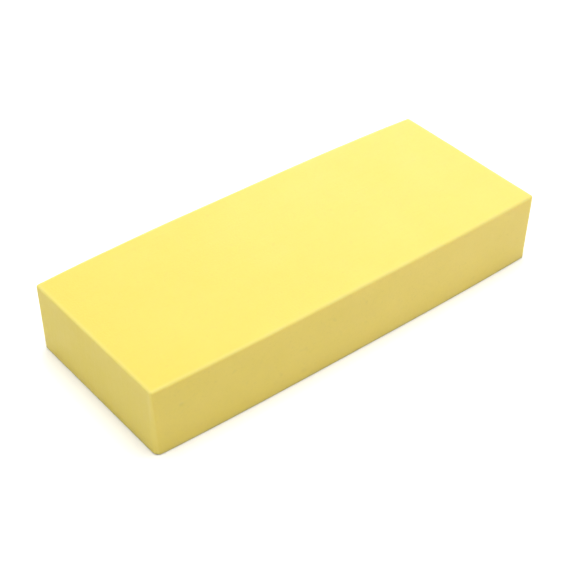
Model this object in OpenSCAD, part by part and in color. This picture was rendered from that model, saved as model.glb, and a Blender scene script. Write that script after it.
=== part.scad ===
// Detailing clay bar: one block of polymer clay, extruded through a rectangular die and cut to
// length. X runs along the bar, Y across it and Z up. The origin is at the middle of the base.
// The clay is soft, so it has slumped a little since it was cut: its long sides bulge, and its
// cut ends lean in towards the base.

/* [Bar] */
// Length between the two cut ends, along the top
bar_length = 120; // [90:1:150]
// Width at the middle, where the long sides bulge most
bar_width = 49.7; // [40:0.1:70]
// Thickness
bar_thickness = 20; // [14:0.5:30]

/* [Slump] */
// How much further out the back long side stands at its middle than at its ends
back_bow = 1.4; // [0:0.1:2]
// The same for the front long side
front_bow = 0.8; // [0:0.1:2]
// How far each cut end leans in from the top to the base
end_lean = 0.5; // [0:0.1:1.5]

/* [Edges] */
// Radius of the edge round the top face
top_edge_r = 0.6; // [0.3:0.1:0.7]
// Radius of the edge round the base
base_edge_r = 0.4; // [0.2:0.1:0.7]
// Radius of the upright corners, seen from above, at least that of either edge
corner_r = 0.7; // [0.7:0.1:3]
// Radius of the foot of the front left corner, which was pressed blunter than the others
blunt_foot_r = 1.6; // [0.7:0.1:4]

/* [Hidden] */

clay_yellow = [0.98, 0.90, 0.50];
side_steps = 12;     // straight steps that follow the bulge of a long side
bow_power = 3;       // keeps the bulge nearly straight at the middle and bends it at the ends
corner_facets = 32;
edge_facets = 16;

// How far the long side with this bow stands from the middle line, at s of the half length
// (s is -1 at one end and 1 at the other)
function side_y(s, bow) = bar_width / 2 - bow * pow(abs(s), bow_power);

// A round disc with a rolled rim, centred on the origin. The hull of many such discs has upright
// corners of radius corner and edges of radius edge.
module rolled_disc(corner, edge) {
    rotate_extrude($fn = corner_facets)
        intersection() {
            translate([corner - edge, 0])
                circle(r = edge, $fn = edge_facets);
            translate([0, -edge])
                square([corner, 2 * edge]);
        }
}

// A disc inside the top edge of the back side, at s along it
module top_disc(s, bow) {
    x = s * (bar_length / 2 - corner_r);
    translate([x, side_y(s, bow) - corner_r, bar_thickness - top_edge_r])
        rolled_disc(corner_r, top_edge_r);
}

// The disc inside the base edge, below it
module base_disc(s, bow, corner) {
    x = s * (bar_length / 2 - end_lean - corner);
    translate([x, side_y(s, bow) - corner, base_edge_r])
        rolled_disc(corner, base_edge_r);
}

// The discs along one long side, built at the back. The last foot can be blunter than the others.
module long_side(bow, last_foot_r) {
    for (step = [0 : side_steps]) {
        s = 2 * step / side_steps - 1;
        top_disc(s, bow);
        base_disc(s, bow, step == side_steps ? last_foot_r : corner_r);
    }
}

module clay_bar() {
    color(clay_yellow)
        hull() {
            long_side(back_bow, corner_r);
            // Turned half way round, the last foot is the front left one
            rotate([0, 0, 180])
                long_side(front_bow, blunt_foot_r);
        }
}

clay_bar();
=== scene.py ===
# Detailing clay bar: a yellow block of polymer clay on a white studio floor.
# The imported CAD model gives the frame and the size. The clay itself is a finer mesh, worked out
# here in millimetres and fitted to the CAD model's box.
import math

import bmesh
import bpy
import numpy as np
from mathutils import Matrix, Vector


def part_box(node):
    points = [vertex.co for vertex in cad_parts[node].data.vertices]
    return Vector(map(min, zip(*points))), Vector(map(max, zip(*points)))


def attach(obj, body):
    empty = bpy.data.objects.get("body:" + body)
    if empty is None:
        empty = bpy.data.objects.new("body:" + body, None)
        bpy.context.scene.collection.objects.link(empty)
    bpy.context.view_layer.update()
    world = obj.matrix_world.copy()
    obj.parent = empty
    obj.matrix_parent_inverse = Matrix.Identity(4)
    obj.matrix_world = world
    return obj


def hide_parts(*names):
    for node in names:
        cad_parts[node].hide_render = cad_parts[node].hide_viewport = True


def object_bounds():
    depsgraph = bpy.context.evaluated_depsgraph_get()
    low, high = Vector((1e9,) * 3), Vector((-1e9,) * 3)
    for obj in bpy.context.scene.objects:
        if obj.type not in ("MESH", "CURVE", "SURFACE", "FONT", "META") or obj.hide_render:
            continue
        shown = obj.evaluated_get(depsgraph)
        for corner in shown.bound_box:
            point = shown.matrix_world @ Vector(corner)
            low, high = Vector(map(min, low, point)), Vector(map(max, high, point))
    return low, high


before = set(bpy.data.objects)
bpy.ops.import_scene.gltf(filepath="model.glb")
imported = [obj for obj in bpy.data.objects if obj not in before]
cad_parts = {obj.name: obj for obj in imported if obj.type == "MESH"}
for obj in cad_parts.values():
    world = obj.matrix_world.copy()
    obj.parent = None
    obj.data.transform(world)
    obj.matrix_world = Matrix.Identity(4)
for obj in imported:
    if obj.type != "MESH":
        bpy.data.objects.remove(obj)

MM = 0.001               # a millimetre, in the frame's metres

# ---- The bar's shape, in millimetres, about the middle of its base ----
BACK_BOW = 1.4           # how much further out the back side stands at its middle than its ends
FRONT_BOW = 0.8          # the same for the front side
BOW_POWER = 3            # keeps the bulge nearly straight at the middle
LEFT_LEAN = 0.65         # how far the left cut end leans in from the top to the base
RIGHT_LEAN = 0.4         # the same for the right cut end
TOP_ROLL = 0.6           # radius of the edge round the top
BASE_ROLL = 0.4          # radius of the edge round the base
CORNER_R = 0.7           # radius of the upright corners
BLUNT_R = 1.6            # radius of the front left corner at its foot, where it was pressed
BLUNT_ROLL = 0.5         # radius of the base edge at that corner
BLUNT_REACH = 3 * BLUNT_R  # how far from the corner the base edge takes to sharpen again
DIMPLE_X = -52.0         # a small pit in the front side, near the left end
DIMPLE_Z = 12.4
DIMPLE_R = 0.6
DIMPLE_DEPTH = 0.13

# ---- The soft surface's unevenness, in millimetres ----
SLUMP_HEIGHT, SLUMP_PITCH = 0.035, 28    # broad swells
DENT_HEIGHT, DENT_PITCH = 0.012, 9       # dents from handling
LINE_HEIGHT, LINE_PITCH = 0.006, 3.5     # lines that the die drew along the bar
DRAG_HEIGHT, DRAG_PITCH = 0.012, 3.0     # furrows that the blade dragged down the cut ends
LINE_STRETCH = (30, 1, 1)                # how much longer the lines are than they are wide
DRAG_STRETCH = (1, 1, 12)                # the same for the furrows
LEVEL_REACH = 1.5                        # how far up from the flat base it comes to full height
SEED = 7                                 # picks one unevenness out of all the possible ones

# ---- Where the clay's colour changes and where highlights and shade are painted on it, in millimetres ----
EDGE_HIGHLIGHT_REACH = 1.3          # how far the painted highlight reaches from an edge of the top
CORNER_HIGHLIGHT_REACH = 1.9         # how far the painted highlight reaches from an upright corner, on a cut end
FOOT_SHADE_REACH = 1.2         # how far up the painted contact shade at the foot reaches
PIT_DARKENING = 0.4        # how much darker the pit is, as a share of the foot's painted shade

# ---- The mesh, in millimetres ----
FINE_STEP = 0.13         # spacing on the rolled edges
COARSE_STEP = 0.75       # spacing on the open faces
GRADE_REACH = 5.0        # distance from an edge at which the spacing is the coarse one
GRADE_SAMPLES = 5000     # places at which the spacing is worked out along an axis
PROJECTIONS = 6          # times that the lattice is moved on to the bar's surface

cad_low, cad_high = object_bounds()
BAR = (Vector(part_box("clay_bar")[1]) - Vector(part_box("clay_bar")[0])) / MM
HALF_L, HALF_W, HEIGHT = BAR.x / 2, BAR.y / 2, BAR.z


def smooth(t, low=0, high=1):
    """0 where t is below low, 1 where it is above high, and a smooth step between."""
    t = np.clip((t - low) / (high - low), 0, 1)
    return t * t * (3 - 2 * t)


def rolled(a, b, radius):
    """Distance to the solid where two faces meet in a rolled edge, from the distances to each."""
    corner = np.hypot(np.maximum(a + radius, 0), np.maximum(b + radius, 0))
    return np.minimum(np.maximum(a, b), -radius) + corner


def half_width(x, y):
    """How far the long side on y's side of the bar stands from the middle line."""
    bow = np.where(y > 0, BACK_BOW, FRONT_BOW)
    return HALF_W - bow * np.abs(np.clip(x / HALF_L, -1, 1)) ** BOW_POWER


def side_distance(p):
    """Distance from points to the nearer long side, below zero inside."""
    return np.abs(p[:, 1]) - half_width(p[:, 0], p[:, 1])


def wall_distance(p):
    """Distance from points to the upright walls and the corners between them."""
    x, y, z = p.T
    rise = z / HEIGHT
    end = np.abs(x) - (HALF_L - np.where(x < 0, LEFT_LEAN, RIGHT_LEAN) * (1 - rise))
    blunt = (x < 0) * (y < 0) * smooth(1 - rise)
    return rolled(side_distance(p), end, CORNER_R + (BLUNT_R - CORNER_R) * blunt)


def distance(p):
    """Distance from points to the clean bar's whole surface."""
    x, y, z = p.T
    near_blunt = smooth(1 - np.hypot(x + HALF_L, y + HALF_W) / BLUNT_REACH)
    base_roll = BASE_ROLL + (BLUNT_ROLL - BASE_ROLL) * near_blunt
    return rolled(rolled(wall_distance(p), z - HEIGHT, TOP_ROLL), -z, base_roll)


def outward(p, eps=0.01):
    """Unit vectors away from the clean bar's surface."""
    steps = np.eye(3) * eps
    slope = np.stack([distance(p + d) - distance(p - d) for d in steps], axis=1)
    return slope / np.linalg.norm(slope, axis=1, keepdims=True)


def graded(low, high, detail=None):
    """Places from low to high, close together near the rolled edges at both and near a detail."""
    t = np.linspace(low, high, GRADE_SAMPLES)
    spots = [low, high] if detail is None else [low, high, detail]
    away = np.min([np.abs(t - spot) for spot in spots], axis=0)
    step = FINE_STEP + (COARSE_STEP - FINE_STEP) * np.clip(away / GRADE_REACH, 0, 1)
    count = np.cumsum(1 / step) * (t[1] - t[0])
    return np.interp(np.linspace(count[0], count[-1], round(count[-1])), count, t)


def shell_grid(counts):
    """The surface of a block of cells: its lattice points, and its outward-facing quads."""
    quads = []
    for axis in range(3):
        u, v = (axis + 1) % 3, (axis + 2) % 3
        i, j = np.meshgrid(np.arange(counts[u] - 1), np.arange(counts[v] - 1), indexing="ij")
        for level, order in ((counts[axis] - 1, 1), (0, -1)):
            quad = np.zeros((i.size, 4, 3), int)
            quad[:, :, axis] = level
            for corner, (du, dv) in enumerate([(0, 0), (1, 0), (1, 1), (0, 1)][::order]):
                quad[:, corner, u] = i.ravel() + du
                quad[:, corner, v] = j.ravel() + dv
            quads.append(quad)
    quads = np.concatenate(quads)
    points, index = np.unique(quads.reshape(-1, 3), axis=0, return_inverse=True)
    return points, index.reshape(-1, 4)


def waves(p, wavelength, rng, count=14, stretch=(1, 1, 1)):
    """Smooth unevenness of about -1 to 1, as the sum of waves in many directions.
    stretch lengthens the waves along an axis."""
    total = np.zeros(len(p))
    for _ in range(count):
        way = rng.normal(size=3)
        way /= np.linalg.norm(way)
        pitch = wavelength * rng.uniform(0.7, 1.5)
        total += np.sin(2 * math.pi / pitch * (p / stretch) @ way + rng.uniform(0, 2 * math.pi))
    return total / math.sqrt(2 * count)


def relief(p, cut):
    """Height of the soft surface's own unevenness over the clean shape, in millimetres."""
    rng = np.random.default_rng(SEED)
    slump = SLUMP_HEIGHT * waves(p, SLUMP_PITCH, rng) + DENT_HEIGHT * waves(p, DENT_PITCH, rng)
    die_lines = LINE_HEIGHT * waves(p, LINE_PITCH, rng, stretch=LINE_STRETCH)
    blade_drag = DRAG_HEIGHT * waves(p, DRAG_PITCH, rng, stretch=DRAG_STRETCH)
    height = slump + die_lines * (1 - cut) + blade_drag * cut
    return height * smooth(p[:, 2] / LEVEL_REACH) - dimple(p)


def dimple(p):
    """Depth of the small pit in the front side, where a bubble of air lay against the die."""
    x, y, z = p.T
    away = np.hypot(x - DIMPLE_X, z - DIMPLE_Z) / DIMPLE_R
    return DIMPLE_DEPTH * np.exp(-away ** 2) * (y < 0)


def clay_marks(p, normal):
    """What the material needs to know of each point: how near it is to the margin of the top and
    to an upright corner, where highlights are painted, whether it is on a cut end, and how much
    painted contact shade it has at the foot and how much darker it is in the pit."""
    # These turn from 0 to 1 round the rolled edges, so limits on them place a mark there
    endward, upward = np.abs(normal[:, 0]), normal[:, 2]
    # Painted contact shade, strongest at the base
    foot = smooth(1 - p[:, 2] / FOOT_SHADE_REACH)
    return {
        "rim": smooth(1 + wall_distance(p) / EDGE_HIGHLIGHT_REACH) * smooth(upward, 0, 0.7),
        "corner_highlight": smooth(1 + side_distance(p) / CORNER_HIGHLIGHT_REACH) * smooth(endward, 0.3, 0.7),
        "cut": smooth(endward, 0.5, 0.9),
        "foot_shade_and_pit": np.maximum(foot, PIT_DARKENING * dimple(p) / DIMPLE_DEPTH),
    }


def clay_mesh():
    """The bar's surface: points in millimetres, quads, and the marks on each point."""
    axes = [graded(-HALF_L, HALF_L, DIMPLE_X), graded(-HALF_W, HALF_W),
            graded(0, HEIGHT, DIMPLE_Z)]
    lattice, quads = shell_grid([len(a) for a in axes])
    p = np.stack([axes[k][lattice[:, k]] for k in range(3)], axis=1)
    p[:, 1] *= half_width(p[:, 0], p[:, 1]) / HALF_W
    for _ in range(PROJECTIONS):
        p -= outward(p) * distance(p)[:, None]
    normal = outward(p)
    marks = clay_marks(p, normal)
    p += normal * relief(p, marks["cut"])[:, None]
    return p, quads, marks


def fit_to_box(p, low, high):
    """Stretches points by a hair, so that they fill the box from low to high exactly."""
    share = (p - p.min(axis=0)) / np.ptp(p, axis=0)
    return np.array(low) + share * (np.array(high) - np.array(low))


def make_bar():
    """The bar as an object, with its marks stored on its points."""
    p, quads, marks = clay_mesh()
    mesh = bpy.data.meshes.new("clay_bar_block")
    mesh.from_pydata(fit_to_box(p, *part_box("clay_bar")).tolist(), [], quads.tolist())
    mesh.polygons.foreach_set("use_smooth", np.ones(len(quads), bool))
    for name, values in marks.items():
        attribute = mesh.attributes.new(name, "FLOAT", "POINT")
        attribute.data.foreach_set("value", values.astype(np.float32))
    mesh.validate()
    bar = bpy.data.objects.new("clay_bar_block", mesh)
    bpy.context.scene.collection.objects.link(bar)
    return bar


# ---- Materials ----
DEEP = (0.765, 0.608, 0.101, 1)     # the clay's own yellow, where it is deepest
PALE = (0.822, 0.648, 0.136, 1)     # and where it is palest
EDGE_HIGHLIGHT = (0.735, 0.637, 0.210, 1)   # painted highlight round the margin of the top
CORNER_HIGHLIGHT = (0.825, 0.675, 0.165, 1)     # painted highlight at the upright corners
SLICED = (0.795, 0.641, 0.082, 1)   # clay laid bare on the cut ends
DUST_AND_PAINTED_SHADE = (0.560, 0.480, 0.130, 1)  # clay that has picked up dust, in grain and specks; also the painted contact shade at the foot and the darker pit
PAINTED_LOW_SHADE = (0.665, 0.528, 0.070, 1)     # painted shade, darker towards the base
PAINTED_SHEEN = 0.6              # how far from DEEP to PALE the clay goes, starting at the left end: a painted sheen growing towards the right
PAINTED_SHEEN_STOP = 20          # the place along X, in millimetres, where the painted sheen stops growing
MOTTLE = 0.4             # how much further it goes in its palest blotches
GRAIN = 0.22             # how much the dusty colour shows in the filler's darkest grain
SPECKS = 0.16            # the same in the specks
CUT = 0.6                # how much SLICED shows on the cut ends
LOW_SHADE_AMOUNT = 0.2                # how much the painted shade shows at the base
LOW_SHADE_REACH = 9            # how far up from the base the painted shade shows, in millimetres

HANDLED_ROUGHNESS = 0.36  # where fingers have been
SATIN_ROUGHNESS = 0.46    # and elsewhere
FINE_ROUGHNESS = 0.03     # how far it varies from grain to grain, up and down
CUT_ROUGHNESS = 0.06      # how much rougher the cut ends are
GRAIN_RELIEF = 0.03       # height in millimetres of the filler's grain,
LINE_RELIEF = 0.03        # of the finest die lines
DRAG_RELIEF = 0.06        # and of the finest furrows on the cut ends


def new_material(name):
    material = bpy.data.materials.new(name)
    material.use_nodes = True
    return material, material.node_tree.nodes["Principled BSDF"]


class Graph:
    """A short way to add nodes to a material and join them up."""

    # A Mix node's sockets for colours. Those for numbers and vectors have the same names.
    MIX_A, MIX_B, MIX_RESULT = 6, 7, 2

    def __init__(self, material):
        self.tree = material.node_tree

    def join(self, source, target):
        self.tree.links.new(source, target)

    def add(self, kind, settings=None, **inputs):
        node = self.tree.nodes.new(kind)
        for key, value in (settings or {}).items():
            setattr(node, key, value)
        for key, value in inputs.items():
            self.feed(node.inputs[key.replace("_", " ")], value)
        return node

    def feed(self, socket, value):
        if isinstance(value, bpy.types.NodeSocket):
            self.join(value, socket)
        else:
            socket.default_value = value

    def point(self, stretch=(1, 1, 1), turn=(0, 0, 0)):
        """The place on the bar, in metres, squeezed along an axis so that a pattern runs along it."""
        place = self.add("ShaderNodeTexCoord").outputs["Object"]
        shrink = [1 / k for k in stretch]
        return self.add("ShaderNodeMapping", Vector=place, Rotation=turn, Scale=shrink).outputs[0]

    def noise(self, size, detail=2.0, roughness=0.5, **where):
        """Noise whose blotches are about size millimetres across."""
        return self.add("ShaderNodeTexNoise", Vector=self.point(**where), Scale=1 / (size * MM),
                        Detail=detail, Roughness=roughness).outputs["Fac"]

    def span(self, value, low, high, to_low=0.0, to_high=1.0):
        """value from low to high, as to_low to to_high."""
        node = self.add("ShaderNodeMapRange", Value=value)
        for key, number in zip(("From Min", "From Max", "To Min", "To Max"),
                               (low, high, to_low, to_high)):
            node.inputs[key].default_value = number
        return node.outputs[0]

    def math(self, operation, a, b):
        node = self.add("ShaderNodeMath", {"operation": operation})
        self.feed(node.inputs[0], a)
        self.feed(node.inputs[1], b)
        return node.outputs[0]

    def blend(self, share, a, b):
        """Colour a where share is 0 and b where it is 1."""
        node = self.add("ShaderNodeMix", {"data_type": "RGBA"})
        self.feed(node.inputs["Factor"], share)
        self.feed(node.inputs[self.MIX_A], a)
        self.feed(node.inputs[self.MIX_B], b)
        return node.outputs[self.MIX_RESULT]

    def mark(self, name):
        """A value stored on the bar's points."""
        return self.add("ShaderNodeAttribute", {"attribute_name": name}).outputs["Fac"]


def clay_colour(g):
    """A yellow that pales from the left end to the right as a painted sheen, slow mottling, filler
    grain, the clay's own colour on the cut ends, painted highlights at the margins and corners, and
    painted shade at the foot and towards the base, with a darker pit."""
    place = g.add("ShaderNodeSeparateXYZ", Vector=g.point()).outputs
    # Painted sheen: the clay pales from the left end to the right
    painted_sheen = g.span(place["X"], -HALF_L * MM, PAINTED_SHEEN_STOP * MM, 0, PAINTED_SHEEN)
    mottle = g.span(g.noise(26, detail=5, roughness=0.75), 0.35, 0.65, 0, MOTTLE)
    colour = g.blend(g.math("ADD", painted_sheen, mottle), DEEP, PALE)
    grain = g.span(g.noise(0.6, detail=3, roughness=0.7), 0.55, 0.75, 0, GRAIN)
    colour = g.blend(grain, colour, DUST_AND_PAINTED_SHADE)
    specks = g.span(g.noise(2.2, detail=1), 0.68, 0.80, 0, SPECKS)
    colour = g.blend(specks, colour, DUST_AND_PAINTED_SHADE)
    colour = g.blend(g.math("MULTIPLY", g.mark("cut"), CUT), colour, SLICED)
    # Painted shade: darker towards the base
    colour = g.blend(g.span(place["Z"], 0, LOW_SHADE_REACH * MM, LOW_SHADE_AMOUNT, 0), colour, PAINTED_LOW_SHADE)
    patchy = g.span(g.noise(6, detail=3), 0.3, 0.7, 0.55, 1.0)
    # Painted highlight on the upright corners
    colour = g.blend(g.math("MULTIPLY", g.mark("corner_highlight"), patchy), colour, CORNER_HIGHLIGHT)
    # Painted highlight round the margin of the top
    colour = g.blend(g.math("MULTIPLY", g.mark("rim"), patchy), colour, EDGE_HIGHLIGHT)
    # Painted contact shade at the foot, and darker in the pit
    return g.blend(g.math("MULTIPLY", g.mark("foot_shade_and_pit"), patchy), colour, DUST_AND_PAINTED_SHADE)


def clay_roughness(g):
    """Satin, with smoother patches where fingers have been and rougher cut ends."""
    touched = g.span(g.noise(17), 0.35, 0.65, HANDLED_ROUGHNESS, SATIN_ROUGHNESS)
    fine = g.span(g.noise(1.2), 0.3, 0.7, -FINE_ROUGHNESS, FINE_ROUGHNESS)
    open_face = g.math("ADD", touched, fine)
    return g.math("ADD", open_face, g.math("MULTIPLY", g.mark("cut"), CUT_ROUGHNESS))


def clay_height(g):
    """Relief in millimetres that is too fine for the mesh: grain, die lines and blade drag."""
    grain = g.span(g.noise(0.5, detail=3, roughness=0.6), 0, 1, 0, GRAIN_RELIEF)
    die_lines = g.span(g.noise(1.1, stretch=(60, 1, 1)), 0, 1, 0, LINE_RELIEF)
    furrows = g.noise(0.9, detail=3, stretch=(1, 1, 14), turn=(0.1, 0, 0))
    drag = g.span(furrows, 0, 1, 0, DRAG_RELIEF)
    cut = g.mark("cut")
    drawn = g.math("MULTIPLY", die_lines, g.math("SUBTRACT", 1.0, cut))
    return g.math("ADD", grain, g.math("ADD", drawn, g.math("MULTIPLY", drag, cut)))


def clay_material():
    """Waxy polymer clay: a satin skin over a body that lets a little light in."""
    material, shader = new_material("clay")
    g = Graph(material)
    g.join(clay_colour(g), shader.inputs["Base Color"])
    g.join(clay_roughness(g), shader.inputs["Roughness"])
    bump = g.add("ShaderNodeBump", Height=clay_height(g), Distance=MM, Strength=1.0)
    g.join(bump.outputs[0], shader.inputs["Normal"])
    shader.inputs["IOR"].default_value = 1.41
    shader.inputs["Subsurface Weight"].default_value = 0.45
    shader.inputs["Subsurface Radius"].default_value = (1.0, 1.0, 0.3)
    shader.inputs["Subsurface Scale"].default_value = 2.2 * MM
    return material


def floor_material():
    """The white acrylic of a light table, lit from below as well as from above."""
    material, shader = new_material("studio_floor")
    shader.inputs["Base Color"].default_value = (0.9, 0.9, 0.9, 1)
    shader.inputs["Roughness"].default_value = 0.9
    shader.inputs["Emission Color"].default_value = (1, 1, 1, 1)
    shader.inputs["Emission Strength"].default_value = 0.08
    return material


def backdrop_material():
    """Plain white paper, lit evenly."""
    material, shader = new_material("studio_backdrop")
    shader.inputs["Base Color"].default_value = (0, 0, 0, 1)
    shader.inputs["Specular IOR Level"].default_value = 0
    shader.inputs["Emission Color"].default_value = (1, 1, 1, 1)
    shader.inputs["Emission Strength"].default_value = 1.0
    return material


# ---- Studio ----
HEADING = 39.73          # degrees from +Y towards +X that the camera looks
DOWNWARD = 39.16         # degrees that it looks down
ROLL = 1.085             # degrees that it leans
LENS = 87.13             # mm, on a 36 mm sensor
SENSOR = 36.0
AIM = Vector((-0.0060, -0.00486, 0.0100))   # the point in the middle of the view, in metres
DISTANCE = 0.3448        # from the camera to it
FLOOR_R = 1.2            # in metres, as the rest of the studio
FLOOR_GAP = 0.01 * MM    # keeps the floor clear of the base
BACKDROP_R = 6.0


def add_camera():
    """A camera that looks at AIM from the photograph's side and height."""
    data = bpy.data.cameras.new("camera")
    data.lens = LENS
    data.sensor_width = SENSOR
    data.clip_start = 0.01
    camera = bpy.data.objects.new("camera", data)
    turn = Matrix.Rotation(math.radians(-HEADING), 4, "Z")
    tilt = Matrix.Rotation(math.radians(90 - DOWNWARD), 4, "X")
    lean = Matrix.Rotation(math.radians(ROLL), 4, "Z")
    pose = turn @ tilt @ lean
    ahead = pose.to_3x3() @ Vector((0, 0, -1))
    camera.matrix_world = Matrix.Translation(AIM - ahead * DISTANCE) @ pose
    bpy.context.scene.collection.objects.link(camera)
    bpy.context.scene.camera = camera


def add_stage_piece(name, form, material):
    mesh = bpy.data.meshes.new(name)
    form.to_mesh(mesh)
    form.free()
    mesh.materials.append(material)
    piece = bpy.data.objects.new(name, mesh)
    bpy.context.scene.collection.objects.link(piece)
    return piece


def add_floor():
    """A round table top, a hair below the bar."""
    form = bmesh.new()
    bmesh.ops.create_circle(form, cap_ends=True, segments=96, radius=FLOOR_R)
    floor = add_stage_piece("floor", form, floor_material())
    floor.location.z = cad_low[2] - FLOOR_GAP


def add_backdrop():
    """White all round, beyond the floor. Only the camera sees it, so it lights nothing."""
    form = bmesh.new()
    bmesh.ops.create_icosphere(form, subdivisions=4, radius=BACKDROP_R)
    backdrop = add_stage_piece("backdrop", form, backdrop_material())
    for ray in ("diffuse", "glossy", "transmission", "volume_scatter", "shadow"):
        setattr(backdrop, "visible_" + ray, False)


def add_softbox(name, place, size, power):
    """A square area light at place, size metres wide, that faces the bar with power watts."""
    data = bpy.data.lights.new(name, "AREA")
    data.size = size
    data.energy = power
    light = bpy.data.objects.new(name, data)
    light.location = place
    light.rotation_euler = Vector(place).to_track_quat("Z", "Y").to_euler()
    bpy.context.scene.collection.objects.link(light)


def light_studio():
    """A large light overhead, one low behind the bar for its sheen, a small one to its right
    that lifts the front side, and a dim white room."""
    world = bpy.data.worlds.new("studio")
    world.use_nodes = True
    world.node_tree.nodes["Background"].inputs["Color"].default_value = (1, 1, 1, 1)
    world.node_tree.nodes["Background"].inputs["Strength"].default_value = 0.18
    bpy.context.scene.world = world
    add_softbox("overhead", (-0.1, -0.08, 3.0), size=2.4, power=114)
    add_softbox("behind", (1.9, 2.26, 1.1), size=2.0, power=31)
    add_softbox("right", (0.45, -0.35, 0.35), size=0.3, power=0.35)
    bpy.context.scene.view_settings.view_transform = "Standard"


bar = make_bar()
bar.data.materials.append(clay_material())
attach(bar, "root")
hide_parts("clay_bar")

add_camera()
add_floor()
add_backdrop()
light_studio()
